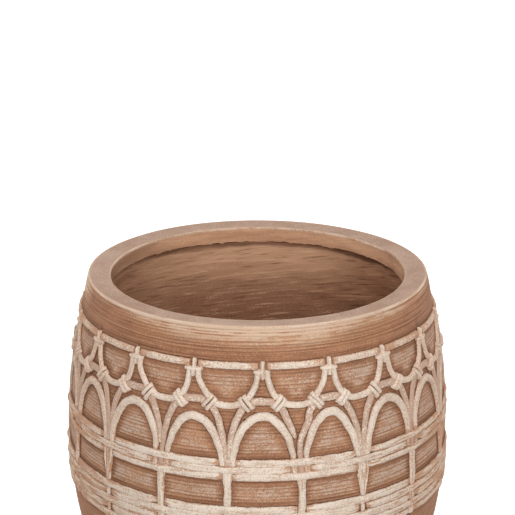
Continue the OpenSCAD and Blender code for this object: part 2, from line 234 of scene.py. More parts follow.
# Strips set off their even places by hand: place and reach in bays, shift in millimetres, and the lowest and
# highest height, where the shift fades out
SET_OFF = (
    (-2, 0.5, -2.6, 241, POT_H), (-1, 0.5, -2.2, 241, POT_H), (1, 0.5, 1.0, 241, POT_H),
    (0.5, 0.5, 2.2, 0, 188), (0.5, 0.5, 1.2, 0, 172),
    (-1.38, 0.35, 2.0, 187, 231), (-0.64, 0.3, -1.0, 187, 231), (0.33, 0.3, -1.4, 205, 224),
    (0.68, 0.35, 3.1, 190, 231), (0.61, 0.1, 3.0, 197, 218),
    (1.35, 0.35, -2.7, 184, 231), (1.38, 0.12, 1.2, 184, 206), (1.65, 0.22, 2.0, 178, 205))
SET_OFF_FADE = 8

# How much lower an inner arch sits than the others, by its number from the front
SET_LOW = {KNOTS - 1: 2.5}

# Left and right end of a bar that is broken: the one at the front knot has lost its right half
BROKEN_BARS = {0: (-7.5, 0.8)}


def hand_set(a, z):
    """Angles of a strip's stations once it is set off its even place."""
    for bay, reach, shift, low, high in SET_OFF:
        off = (a / BAY - bay + KNOTS / 2) % KNOTS - KNOTS / 2
        near = np.cos(np.clip(off / reach, -1, 1) * math.pi / 2) ** 2
        above = ease(z, low - SET_OFF_FADE, low + SET_OFF_FADE)
        below = ease(z, high + SET_OFF_FADE, high - SET_OFF_FADE)
        a = a + turn(shift, z) * near * above * below
    return a


def stations(line):
    """Length along the strip and its stations, evenly spaced and closer at the ends."""
    step = np.hypot(np.diff(line[:, ANGLE]) * wall_r(line[:-1, HEIGHT]), np.diff(line[:, HEIGHT]))
    s = np.concatenate([[0], np.cumsum(step)])
    middle = np.linspace(END_L, s[-1] - END_L, max(3, int((s[-1] - 2 * END_L) / STATION_STEP)))
    t = np.concatenate([END_STATIONS, middle, s[-1] - END_STATIONS[::-1]])
    return t, np.stack([np.interp(t, s, column) for column in line.T], -1)


def lay(skin, line, seed, wobble=0.22, rough=0.09, end_round=1.1, fill=(0.48, 0.48)):
    """Lays one strip on the wall by hand: it wanders, swells and is a little lumpy. Slip fills the seam at
    its foot, and fill says how much wash is left there, above and below the strip."""
    rng = np.random.default_rng(seed)
    s, line = stations(np.asarray(line, float))
    a, z, half, thick, upper_drop, lower_drop, gone = line.T
    a = hand_set(a, z)
    r = wall_r(z)
    along = np.stack([np.gradient(a, s) * r, np.gradient(z, s)])
    across = np.stack([-along[1], along[0]]) / np.hypot(*along)
    drift = wobble * wander(s, rng, DRIFT_WAVE)
    half = half * (1 + WIDTH_STRAY * wander(s, rng, WIDTH_WAVE))
    thick = thick * (1 + THICK_STRAY * wander(s, rng, THICK_WAVE))
    from_end = np.minimum(s, s[-1] - s)
    ends = np.sqrt(np.clip(1 - (1 - np.clip(from_end / end_round, 0, 1)) ** 2, 0, 1))
    half = half * (0.72 + 0.28 * ends)
    laid_lines.append(np.stack([a, z, half], -1))
    drop = np.where(ACROSS > 0, upper_drop[:, None], lower_drop[:, None])
    lift = thick[:, None] * (1 - drop * np.abs(ACROSS) ** 4) * (0.25 + 0.75 * ends[:, None])
    foot = np.minimum(lift.min(1) * 0.5, 0.5)
    skirt_lift = np.stack([np.full_like(foot, low) for low in SKIRT_LIFT] + [foot], -1)
    lift = np.concatenate([skirt_lift, lift, skirt_lift[:, ::-1]], 1)
    lift[from_end == 0] = np.minimum(lift[from_end == 0], -0.3)
    edge = half[:, None] + SKIRT
    off = drift[:, None] + np.concatenate([-edge, half[:, None] * ACROSS, edge[:, ::-1]], 1)
    angle = a[:, None] + across[0][:, None] * off / r[:, None]
    height = z[:, None] + across[1][:, None] * off
    flat = on_pot(angle, height, 0)
    lift = lift + rough * (lumps(flat, 2.6, seed) + 0.6 * lumps(flat, 1.2, seed + 1)) * (lift > 0.2)
    upper_fill, lower_fill = fill
    worn = (0.85 - 1.4 * np.where(ACROSS > 0, upper_fill, lower_fill)) * np.abs(ACROSS) ** 3
    crown = (1 - worn) * (0.5 + 0.5 * ends[:, None])
    foot_wash = SKIRT_WASH + 0 * ends[:, None]
    crown = np.concatenate([foot_wash + lower_fill, crown, foot_wash[:, ::-1] + upper_fill], 1)
    skin.patch(on_pot(angle, height, lift), crown=crown, gone=gone[:, None], tone=rng.uniform(-1, 1),
               along=(s + rng.uniform(0, 900))[:, None], across=off)


def swag_at(q):
    """Stations of a swag's middle line from its knot, at q from -90 at one end to 90 at the other."""
    q = np.radians(np.asarray(q, float))
    reach = BAY / 2 - turn(SWAG_GAP / 2, SWAG_TOP_Z)
    return np.stack([BAY / 2 + reach * np.sin(q) * (1 + SWAG_FULL * np.cos(q)),
                     SWAG_TOP_Z - (SWAG_TOP_Z - SWAG_LOW_Z) * np.cos(q),
                     (SWAG_END_W + (SWAG_W - SWAG_END_W) * np.cos(q)) / 2], -1)


def leg_at(q, reach, top_z, foot_z, top_w, foot_w, shoulder):
    """Stations of an arch leg at q from 0 at the arch's top to 90 at its foot, towards the right."""
    q = np.asarray(q, float)
    sine, cosine = np.sin(np.radians(q)), np.cos(np.radians(q))
    return np.stack([reach * sine ** shoulder, top_z - (top_z - foot_z) * (1 - cosine),
                     (top_w + (foot_w + LEG_SWELL - top_w) * (q / 90) ** LEG_TAPER) / 2], -1)


def outer_at(q, reach=BAY / 2 - turn(OUTER_LEG_IN, UPPER_Z), foot_z=BUNDLE_END_Z, foot_w=OUTER_LEG_W):
    """Stations of an outer arch's leg, which ends in a bundle unless told otherwise."""
    return leg_at(q, reach, OUTER_TOP_Z, foot_z, OUTER_W, foot_w, OUTER_SHOULDER)


def under_ties_shade(path, a):
    """How far stations of a middle line lie under the ties at angle a or close beside them, bare of wash
    and painted in the ties' shade.
    """
    away = np.hypot((path[:, ANGLE] - a) * wall_r(path[:, HEIGHT]), path[:, HEIGHT] - TIE_Z)
    return 2 * ease(away, TIE_SHADE_REACH + SHADE_OUT, TIE_SHADE_REACH - SHADE_IN)


def strip(path, thick, drop, gone=0.0):
    """Line of a strip from its middle line and half widths, with both edges alike."""
    ones = np.ones(len(path))
    return np.column_stack([path, thick * ones, drop * ones, drop * ones, gone * ones])


def flipped(line):
    """The line mirrored, left for right, and run the other way."""
    return line[::-1] * np.array([-1] + [1] * (line.shape[1] - 1))


def arch(left_leg, right_leg):
    """Whole arch from its left and right leg, each drawn from the top down and towards the right."""
    return np.concatenate([flipped(left_leg)[:-1], right_leg])


def turned(line, bays):
    """The line moved round the pot."""
    line = np.array(line)
    line[:, ANGLE] += bays * BAY
    return line


def tail(leg):
    """A leg that runs on, pressed flat, under the upper band to the lower edge of the window."""
    foot = leg[-1]
    worn = leg.copy()
    worn[:, WEAR_AND_SHADE] += 0.9 * ease(leg[:, HEIGHT], UPPER_Z + 3.6, UPPER_Z + 1.6)
    pressed = [[foot[ANGLE], z, foot[HALF], PRESSED_T, foot[UPPER_DROP], foot[LOWER_DROP], 0.5]
               for z in (UPPER_Z - 3, WINDOW_END_Z + 1, WINDOW_END_Z - 0.5)]
    return np.concatenate([worn, pressed])


def straight(a, z, direction, half_length, half, thick_at, drop, gone=0.0):
    """Line through a place on the wall, along a direction on it, with its thickness from where it is."""
    t = np.linspace(-half_length, half_length, 24)
    d = np.asarray(direction, float) / np.hypot(*direction)
    path = np.column_stack([a + t * d[0] / wall_r(z), z + t * d[1], np.full(len(t), half)])
    return strip(path, thick_at(t), drop, gone)


def over_middle(thick, start, stop):
    """Thickness along a strip that rises over what it crosses and falls to this from start to stop."""
    over = STRIP_T + OVER_T
    return lambda t: over - (over - thick) * ease(np.abs(t), start, stop)


def rail():
    skin = Skin()
    span = BAY - turn(RAIL_BREAK, RAIL_Z)
    t = np.linspace(-1, 1, 60)
    for i in range(KNOTS):
        a = np.linspace(-span / 2, span / 2, len(t)) + (i + 0.5) * BAY
        path = np.column_stack([a, np.full(len(t), RAIL_Z), np.full(len(t), RAIL_H / 2 - RAIL_SHRINK)])
        gone = 0.25 + 0.6 * ease(np.abs(t) + 0.2 * np.sin(3.7 * i), 0.45, 1.1)
        lay(skin, strip(path, STRIP_T, 0.4, gone), RAIL_SEED + i, wobble=0.12, rough=0.18)
    return skin


def knot_pegs():
    skin = Skin()
    for i in range(KNOTS):
        lean = np.random.default_rng(PEG_SEED + i).uniform(-0.07, 0.07)
        line = straight(i * BAY, PEG_Z, (lean, 1), PEG_L / 2, PEG_W / 2, lambda t: STRIP_T + PEG_PROUD, 0.75)
        lay(skin, line, PEG_SEED + i, wobble=0.2, rough=0.14)
    return skin


def knot_bars():
    skin = Skin()
    z = RAIL_Z - RAIL_H / 2 - GROOVE - BAR_H / 2
    clear = (SWAG_GAP + SWAG_END_W) / 2 + 2 * GAP
    half_length = clear + BAR_FOOT
    rise_over = over_middle(STRIP_T, clear - 3, clear + 0.6)
    for i in range(KNOTS):
        rng = np.random.default_rng(BAR_SEED + i)
        ends = -half_length - rng.uniform(-0.4, 0.9), half_length + rng.uniform(-0.4, 0.9)
        left, right = BROKEN_BARS.get(i, ends)
        middle, length = (left + right) / 2, (right - left) / 2
        line = straight(i * BAY + turn(middle, z), z, (1, rng.uniform(-0.06, 0.06)), length, BAR_H / 2,
                        lambda t: rise_over(t + middle), 0.7)
        lay(skin, line, BAR_SEED + i, wobble=0.25, rough=0.14)
    return skin


def swags():
    skin = Skin()
    path = swag_at(np.linspace(-90, 90, 90))
    tie = turn(TIE_OFF, TIE_Z)
    gone = sum(under_ties_shade(path, a) for a in (tie, BAY - tie))
    for i in range(KNOTS):
        lay(skin, turned(strip(path, STRIP_T, 0.5, gone), i), SWAG_SEED + i)
    return skin


def inner_leg(reach, foot_z):
    path = leg_at(np.linspace(0, 90, 60), reach, INNER_TOP_Z, foot_z, INNER_W, LEG_W, 1)
    return strip(path, STRIP_T, 0.45)


def inner_arches():
    """The inner arches, and the slip that joins the four legs of a bundle at their foot."""
    skin = Skin()
    bundle_side = inner_leg(BAY / 2 - turn(INNER_LEG_IN, UPPER_Z), BUNDLE_END_Z)
    window_side = tail(inner_leg(BAY / 2 - turn(WINDOW_LEG, UPPER_Z), WINDOW_FOOT_Z))
    line = arch(bundle_side, window_side)
    for i in range(KNOTS):
        this = turned(flipped(line) if i % 2 else line, i)
        this[:, HEIGHT] -= SET_LOW.get(i, 0) * ease(this[:, HEIGHT], UPPER_Z + 8, INNER_TOP_Z)
        lay(skin, this, INNER_SEED + i, wobble=0.28)
    for i in range(KNOTS // 2):
        joined_z = UPPER_Z + (JOINED_L if i == STRAIGHT_STAKE else JOINED_L / 4)
        z = np.linspace(joined_z, BUNDLE_END_Z, 40)
        half = INNER_LEG_IN + 0.14 * np.maximum(z - UPPER_Z, 0)
        thick = 0.1 + 1.7 * ease(z, joined_z, UPPER_Z + 3)
        gone = 0.2 + 0.7 * ease(z, UPPER_Z + 2, joined_z)
        slip = strip(np.column_stack([0 * z, z, half]), thick, 0.2, gone)
        lay(skin, turned(slip, 2 * i + BUNDLE_STAKE), JOINED_SEED + i, rough=0.15)
    return skin


def outer_leg(path, sunk=0):
    """Line of an outer arch's leg, sunk into the wall by that share at its foot."""
    low = sunk * ease(path[:, HEIGHT], UPPER_Z + 14, UPPER_Z + 4)
    return strip(path, OUTER_T - 0.9 * low, 0.55, 0.5 * low + under_ties_shade(path, turn(TIE_OFF, TIE_Z)))


def short_leg(q, end_z):
    """An outer leg that stops at this height and narrows to its end."""
    stop_q = math.degrees(math.acos(1 - (OUTER_TOP_Z - end_z) / (OUTER_TOP_Z - BUNDLE_END_Z)))
    path = outer_at(q * stop_q / 90)
    path[:, HALF] *= 0.5 + 0.5 * ease(path[:, HEIGHT], end_z - 2, end_z + 9)
    return outer_leg(path)


def outer_arches():
    """The outer arches. On one side of every second one the leg stops short, soonest at the front."""
    skin = Skin()
    q = 90 * np.linspace(0, 1, 60) ** 1.5
    bundle_side = outer_leg(outer_at(q))
    through_side = tail(outer_leg(outer_at(q, BAY / 2, WINDOW_FOOT_Z, LEG_W), 1))
    for i in range(KNOTS):
        if i % 2:
            line = flipped(arch(bundle_side, through_side))
        else:
            line = arch(bundle_side, short_leg(q, UPPER_Z + (SHORT_LEG_END if i else BROKEN_LEG_END)))
        lay(skin, turned(line, i), OUTER_SEED + i, wobble=0.25, rough=0.2, fill=(0.2, 0.2))
    return skin


def ties(side):
    """The ties on the right of the knots with side 1, and on the left with side -1."""
    skin = Skin()
    unit = np.array([math.sin(math.radians(TIE_LEAN)), math.cos(math.radians(TIE_LEAN))])
    beside = np.array([-unit[1], unit[0]])
    rise_over = over_middle(STRIP_T * 0.8, TIE_HALF_L - 3.4, TIE_HALF_L + 0.4)
    for i in range(KNOTS):
        rng = np.random.default_rng(TIE_SEED + TIE_SIDE_SEEDS * side + i)
        for row in (-0.5, 0.5):
            shift = row * (TIE_PITCH + rng.uniform(0, 0.3)) * beside + rng.uniform(-0.7, 0.7) * unit
            line = straight(turn(TIE_OFF + shift[0], TIE_Z), TIE_Z + shift[1], unit,
                            TIE_HALF_L + rng.uniform(-0.6, 0.4), TIE_W / 2, rise_over, 0.25)
            line[:, ANGLE] *= side
            lay(skin, turned(line, i), rng.integers(1 << 20), wobble=0.08, end_round=0.7, fill=(0.6, 0.6))
    return skin


def strand_rows(top_z, strand_h, pitch, count):
    """Lower and upper edge of each strand of a band."""
    return [(top_z - i * pitch - strand_h, top_z - i * pitch) for i in range(count)]


UPPER_ROWS = strand_rows(UPPER_Z, UPPER_STRAND_H, UPPER_PITCH, 3)
LOWER_ROWS = strand_rows(LOWER_Z, LOWER_STRAND_H, LOWER_PITCH, 5)


def stakes(first, top_z, pressed_rows, seed, spread):
    """Upright stakes, pressed flat under the rows that pass over them. For each, spread gives how wide it
    opens at its top and over what length. One that opens wide has a thin leg along both edges."""
    skin = Skin()
    z = np.linspace(top_z, LOWER_END_Z, 90)
    thick = np.full(len(z), STRIP_T)
    for low, high in pressed_rows:
        thick = np.where((z > low - 1) & (z < high + 1), PRESSED_T, thick)
    half = np.interp(z, [LOWER_END_Z, top_z], [STAKE_END_W / 2, STAKE_W / 2])
    band_end = UPPER_ROWS[2][0]
    for i in range(KNOTS // 2):
        wide, long = spread(i)
        bays = 2 * i + first
        opened = ease(z, band_end - long, band_end)
        shape = half + wide * (opened - 0.55)
        sunk = opened * (wide > 1)
        line = strip(np.column_stack([0 * z, z, shape]), thick - 0.7 * sunk, 0.4, 0.55 * sunk)
        lay(skin, turned(line, bays), seed + i, wobble=0.3)
        for side in (-1, 1) if wide > 1 else ():
            path = np.column_stack([side * turn(shape - 0.8, z), z, np.full(len(z), 0.9)])
            leg = strip(path, thick, 0.5)[z > band_end - long]
            lay(skin, turned(leg, bays), seed + SPREAD_SIDE_SEEDS * side + i, wobble=0.15)
    return skin


def strand(row, first, over_w, tuck_w, seed, top_edge, low_edge):
    """One woven strand: each piece passes over a stake and tucks in beside the next one on either side."""
    low, high = row
    z = (low + high) / 2
    reach = BAY - turn(tuck_w / 2 + GAP, z)
    a = np.linspace(-reach, reach, 160)
    d, end = np.abs(a) * wall_r(z), reach * wall_r(z)
    over = PRESSED_T + OVER_T
    hump = over_w / 2 + 0.8
    thick = STRIP_T + (over - STRIP_T + 0.5) * (1 - ease(d, hump - 1.5, hump + RAMP_L))
    tuck = ease(d, end - 1.4 * RAMP_L, end)
    gone = 0.75 * ease(d, end - 1.6 * RAMP_L, end + 1)
    thick = thick - (STRIP_T - PRESSED_T) * tuck
    near = 1 - ease(d, hump, hump + 9)
    drop = 0.2 + 0.45 * np.maximum(near, tuck)
    half = (high - low) / 2 + STRAND_SWELL - 0.5 * tuck
    skin = Skin()
    for i in range(KNOTS // 2):
        line = strip(np.column_stack([a, np.full(len(a), z), half]), thick, drop, gone)
        line[:, UPPER_DROP] = 0.5 if top_edge else drop
        line[:, LOWER_DROP] = 0.5 if low_edge else drop
        bays = 2 * i + first
        from_front = min(bays, KNOTS - bays)
        full, apart = next(seam for bay, *seam in STRAND_SEAMS if from_front < bay)
        line[:, HALF] -= apart * (RIGHT_GAP if bays < KNOTS / 2 else LEFT_GAP)
        fill = full * (not top_edge), full * (not low_edge)
        lay(skin, turned(line, bays), seed + i, wobble=0.2, fill=fill)
    return skin


def window_slip(skin):
    """Slip in the windows of the upper band, between the legs that show there."""
    z = sum(UPPER_ROWS[1]) / 2
    line = straight(0, z, (1, 0), WINDOW_W / 2 + 1, UPPER_STRAND_H / 2 + 0.6,
                    lambda t: WINDOW_SLIP_T, 0.1, gone=1.25)
    for i in range(KNOTS // 2):
        lay(skin, turned(line, 2 * i + WINDOW_STAKE), SLIP_SEED + i, rough=0.2)


# Turned surfaces. A profile is a closed loop of [radius, height].
def comb_lines():
    """Height, width, depth and bends of each line that the comb drew, closer together near the rim."""
    rng = np.random.default_rng(5)
    z, lines = FOOT_EDGE_R, []
    while z < POT_H:
        lines.append((z, rng.uniform(0.65, 1.0), rng.uniform(0.6, 1.2), rng.uniform(0, 7, 4)))
        z += rng.uniform(1.8, 2.7) if z > RAIL_Z else rng.uniform(2.5, 3.6)
    return lines


def comb(points):
    """Depth of the comb's lines at points on the outside, and how much of a line each lies in, which is less
    than 0 on the burr above a line."""
    x, y, z = axes_of(points)
    a = np.arctan2(x, -y)
    depth, share, burr_highlight = np.zeros((3,) + z.shape)
    for height, width, deep, bends in comb_lines():
        near = np.abs(z - height) < COMB_REACH
        an, zn = a[near], z[near]
        path = height + 0.4 * np.sin(2 * an + bends[0]) + 0.25 * np.sin(5 * an + bends[1])
        here = deep * (0.75 + 0.25 * np.sin(3 * an + bends[2]) * np.sin(7 * an + bends[3]))
        cut = here * np.exp(-((zn - path) / width) ** 2)
        share[near] = np.maximum(share[near], cut)
        # The burr above each line is not cut into the wall; it only carries a painted highlight
        burr_highlight[near] = np.maximum(burr_highlight[near], here * np.exp(-((zn - path - 1.3) / 0.6) ** 2))
        depth[near] += cut
    return COMB_DEPTH * depth, share - burr_highlight


def frosted(points, clear):
    """How much dry wash was brushed on: most in the middle of a panel, less at the front and below the lower
    band, and none above the rail."""
    x, y, z = axes_of(points)
    front = ease(-y / np.hypot(x, y), 0.7, 0.98)
    below = 0.7 * ease(z, LOWER_END_Z + 2, LOWER_END_Z - 8)
    return ease(clear, *FROST_CLEAR) * ease(z, RAIL_Z, RAIL_Z - 8) * (1 - 0.3 * front) * (1 - below)


def paled(points):
    """How far the rim's side is paler down from its top: furthest at the front, and at the left end, where
    wash ran down.
    """
    x, y, z = axes_of(points)
    front = np.clip(np.cos(np.arctan2(x, -y) - 0.05), 0, 1) ** 3
    left = ease(-x / np.hypot(x, y), 0.93, 0.995) * ease(z, *PALE_LEFT_Z)
    start, stop = [side_z - lower * front for side_z, lower in PALE_RUN]
    run = ease(z + 4 * lumps(points, (40, 40, 15), 41), start, stop)
    return np.maximum(run, 0.85 * left)


def turned_by_hand(points):
    """How far the outside of the wall is off its true curve, and how much of a comb line a point lies in."""
    depth, share = comb(points)
    return 0.25 * lumps(points, (45, 45, 14), 11) + 0.1 * lumps(points, (9, 9, 2), 12) - depth, share


def clear_of_strips(points):
    """About how far, in millimetres along the wall, each point is from the edge of the nearest strip."""
    lines = np.concatenate(laid_lines)
    tree = KDTree(3 * len(lines))
    for whole_turn in (-2 * math.pi, 0, 2 * math.pi):
        for j, (a, z, _) in enumerate(lines):
            tree.insert(((a + whole_turn) * BELLY_R, z, 0), j)
    tree.balance()
    a = np.arctan2(points[:, 0], -points[:, 1])
    found = [tree.find((x * BELLY_R, z, 0)) for x, z in zip(a, points[:, 2])]
    return np.array([distance - lines[j, 2] for _, j, distance in found])


def under_lip(points):
    """How far points inside lie in the ragged seam under the lip, which is cut in a little and painted with
    the lip's shadow, or in the slight hollow at its left, which is mostly painted shadow.
    """
    x, _, z = axes_of(points)
    above = z - WALL_TOP_Z + SEAM_H + 1.1 * lumps(points, (17, 17, 9), 51) + 0.9 * lumps(points, 6, 53)
    full = np.clip(0.75 + 0.6 * lumps(points, (34, 34, 9), 52), 0, 0.95)
    seam = np.exp(-(np.minimum(above, 0) / 2.0) ** 2) * full
    seam = seam * (1 - 0.5 * ease(-x, *SEAM_LEFT))
    shadowed_hollow = 0.15 * ease(z, RIDGE_Z, WALL_TOP_Z - 4) * ease(-x, *SHADOWED_HOLLOW_LEFT)
    return np.maximum(seam, shadowed_hollow)


def thumb_ridge(points):
    """How far points lie on the thin ridge that a thumb left round the back of the inside."""
    _, y, z = axes_of(points)
    off = z - RIDGE_Z - 0.8 * lumps(points, (60, 60, 30), 54)
    pressed = np.clip(0.75 + 0.6 * lumps(points, (22, 22, 9), 55), 0, 1)
    return np.exp(-(off / 0.9) ** 2) * ease(y, *RIDGE_BACK) * pressed


def turn_profile(profile):
    profile = np.asarray(profile, float)
    return around(np.arange(COLUMNS) * 2 * math.pi / COLUMNS, profile[:, :1], profile[:, 1:])


def turn_parts(parts):
    """Grid of a profile that is made of named parts, and the name of each row's part."""
    kind = np.repeat(list(parts), [len(part) for part in parts.values()])
    return turn_profile(np.concatenate(list(parts.values()))), kind


def level(r, z):
    """Part of a profile at one height."""
    return np.stack([r, np.full_like(r, z)], -1)


def rounded(r, z, edge_r, q):
    """Rounded corner of a profile about a middle, at angles q."""
    return np.stack([r + edge_r * np.cos(q), z + edge_r * np.sin(q)], -1)


def outside(z):
    """Part of a profile along the outside of the wall."""
    return np.stack([wall_r(z), z], -1)


def push(grid, by):
    """Moves points outward from the axis."""
    flat = grid * np.array([1, 1, 0])
    return grid + flat / np.maximum(np.linalg.norm(flat, axis=-1, keepdims=True), 1e-6) * by[..., None]


def evenly(start, stop, step):
    """Places from start to stop, about a step apart."""
    return np.linspace(start, stop, max(2, int(abs(stop - start) / step) + 1))


def cavity_r(z):
    """Inner radius of the wall, which thickens towards the neck."""
    neck_in = BELLY_R - WALL_T - wall_r(WALL_TOP_Z) + NECK_T
    arc_up = ((WALL_TOP_Z - BELLY_Z) ** 2 + neck_in ** 2) / (2 * neck_in)
    arc = np.where(np.asarray(z) > BELLY_Z, arc_up, LOWER_ARC_R - WALL_T)
    return BELLY_R - WALL_T - arc + np.sqrt(arc ** 2 - (z - BELLY_Z) ** 2)


def body_wall():
    """The wall. Inside, its groove mark is the seam under the lip, painted in the lip's shadow, and its frost
    mark the thumb's ridge, which carries a painted highlight.
    """
    skin = Skin()
    outer_z = np.concatenate([evenly(FLOOR_T, RAIL_Z, ROW_STEP),
                              evenly(RAIL_Z, WALL_TOP_Z, RIM_ROW_STEP)[1:]])
    inner_z = np.concatenate([evenly(WALL_TOP_Z, SEEN_DEPTH_Z, INNER_ROW_STEP),
                              evenly(SEEN_DEPTH_Z, FLOOR_T, DEEP_ROW_STEP)[1:]])
    out = turn_profile(outside(outer_z))
    inn = turn_profile(np.stack([cavity_r(inner_z), inner_z], -1))
    relief = outer_z > LOWER_END_Z - 12
    clear = np.full(out.shape[:2], FAR_FROM_STRIPS)
    clear[relief] = clear_of_strips(out[relief].reshape(-1, 3)).reshape(-1, COLUMNS)
    by, share = turned_by_hand(out)
    out = push(out, by)
    seam, thumbed = under_lip(inn), thumb_ridge(inn)
    strokes = inn @ np.array([[1, 0, -0.22], [0, 1, 0], [0, 0, 1]])
    inn = push(inn, 0.8 * lumps(inn, (60, 60, 15), 13) + 0.35 * lumps(strokes, (30, 30, 5), 14)
               + 0.12 * lumps(strokes, (14, 14, 2.2), 15) + 0.9 * seam - 0.4 * thumbed)

    def mark(*values):
        return np.concatenate([np.broadcast_to(v, grid.shape[:2]) for v, grid in zip(values, (out, inn))])

    skin.patch(np.concatenate([out, inn]), True, groove=mark(share, seam), clear=mark(clear, FAR_FROM_STRIPS),
               inner=mark(0.0, 1.0), frost=mark(frosted(out, clear), thumbed), pale=mark(paled(out), 0.0))
    return skin


def rim_ring():
    """The lip: its edges are worn, its top rises outward, and the seam under it is ragged inside."""
    skin = Skin()
    edge_r, edge_z = wall_r(POT_H - RIM_EDGE_R) - RIM_EDGE_R, POT_H - RIM_EDGE_R
    lip_r, lip_z = MOUTH_R + MOUTH_EDGE_R, POT_H - MOUTH_EDGE_R
    turn_out = np.radians(np.linspace(0, 90, EDGE_STEPS))[1:]
    turn_in = np.radians(np.linspace(90, 180, EDGE_STEPS))[1:]
    face_z = evenly(lip_z, WALL_TOP_Z, LIP_ROW_STEP)[1:]
    parts = {"side": outside(evenly(WALL_TOP_Z, edge_z, RIM_ROW_STEP)),
             "outer_edge": rounded(edge_r, edge_z, RIM_EDGE_R, turn_out),
             "top": level(np.linspace(edge_r, lip_r, 16)[1:], POT_H),
             "inner_edge": rounded(lip_r, lip_z, MOUTH_EDGE_R, turn_in),
             "face": np.stack([np.full_like(face_z, MOUTH_R), face_z], -1),
             "under": level(np.linspace(MOUTH_R + 0.5, wall_r(WALL_TOP_Z) - 1, 10), WALL_TOP_Z)}
    grid, kind = turn_parts(parts)
    edge, top, inner = kind == "outer_edge", kind == "top", np.isin(kind, ["inner_edge", "face", "under"])
    by, share = turned_by_hand(grid)
    share[kind != "side"] = 0
    by[edge] = by[len(parts["side"]) - 1] - 0.22 * np.clip(lumps(grid[edge], (8, 8, 3), 22), 0, 1)
    by[top] = 0
    by[inner] = 0.3 * lumps(grid[inner], (22, 22, 5), 23) + 0.12 * lumps(grid[inner], (8, 8, 2), 24)
    grid = push(grid, by)
    grid[top, :, 2] += 0.15 * lumps(grid[top], (30, 30, 9), 25) - 0.1
    outward = np.clip((np.hypot(grid[..., 0], grid[..., 1]) - MOUTH_R) / (RIM_R - MOUTH_R), 0, 1)
    grid[..., 2] += RIM_TILT * outward * np.clip((grid[..., 2] - WALL_TOP_Z) / RIM_H, 0, 1)
    seam = inner & (grid[:, 0, 2] < WALL_TOP_Z + 0.1)
    hang = -1.2 + 1.2 * lumps(grid[seam], (26, 26, 9), 26) + 1.3 * lumps(grid[seam], 6, 27)
    hang = np.clip(hang + 0.7 * lumps(grid[seam], 3.4, 28), -2.8, 1.5)
    near = np.clip((MOUTH_R + 4 - np.hypot(grid[seam][..., 0], grid[seam][..., 1])) / 4, 0, 1)
    grid[seam, :, 2] -= hang * near
    marks = {name: np.isin(kind, kinds)[:, None] * 1.0 for name, kinds in
             (("edge", ["outer_edge", "inner_edge"]), ("flat", ["top"]), ("inner", ["face", "under"]))}
    skin.patch(grid, True, groove=share, clear=FAR_FROM_STRIPS, frost=0.0, pale=paled(grid), **marks)
    return skin


def floor_slab():
    """The floor, with the rounded foot and the rings that the hand left on its upper side."""
    skin = Skin()
    foot_r = wall_r(FOOT_EDGE_R) - FOOT_EDGE_R
    turn_foot = np.radians(np.linspace(-90, 0, FOOT_STEPS))
    parts = {"foot": rounded(foot_r, FOOT_EDGE_R, FOOT_EDGE_R, turn_foot),
             "side": outside(evenly(FOOT_EDGE_R, FLOOR_T, ROW_STEP)[1:]),
             "top": level(evenly(wall_r(FLOOR_T), 0, 2.5)[1:], FLOOR_T),
             "under": level(evenly(0, foot_r, 6)[:-1], 0)}
    grid, kind = turn_parts(parts)
    side, top = kind == "side", kind == "top"
    by, share = np.zeros((2,) + grid.shape[:2])
    by[side], share[side] = turned_by_hand(grid[side])
    grid = push(grid, by)
    spin = np.arctan2(grid[..., 0], -grid[..., 1])
    radius = np.hypot(grid[..., 0], grid[..., 1])
    inside = top[:, None] & (radius < cavity_r(FLOOR_T) - 1) & (radius > 1)
    rings = 0.5 * np.sin(radius / 2.6 + spin) + 0.5 * lumps(grid, (26, 26, 9), 31)
    grid[..., 2] += np.where(inside, rings, 0) - 0.6 * inside
    skin.patch(grid, True, groove=share, clear=FAR_FROM_STRIPS, frost=0.0, pale=0.0, inner=top[:, None] * 1.0)
    return skin


# Finishes
class Value:
    """A value or colour in a node tree. Arithmetic on values adds Math nodes."""

    def __init__(self, tree, socket):
        self.tree, self.socket = tree, socket

    def maths(self, operation, left, right):
        return self.tree.add("ShaderNodeMath", {"operation": operation}, {0: left, 1: right})

    def __add__(self, other):
        return self.maths("ADD", self, other)

    def __sub__(self, other):
        return self.maths("SUBTRACT", self, other)

    def __rsub__(self, other):
        return self.maths("SUBTRACT", other, self)

    def __mul__(self, other):
        return self.maths("MULTIPLY", self, other)

    __radd__, __rmul__ = __add__, __mul__


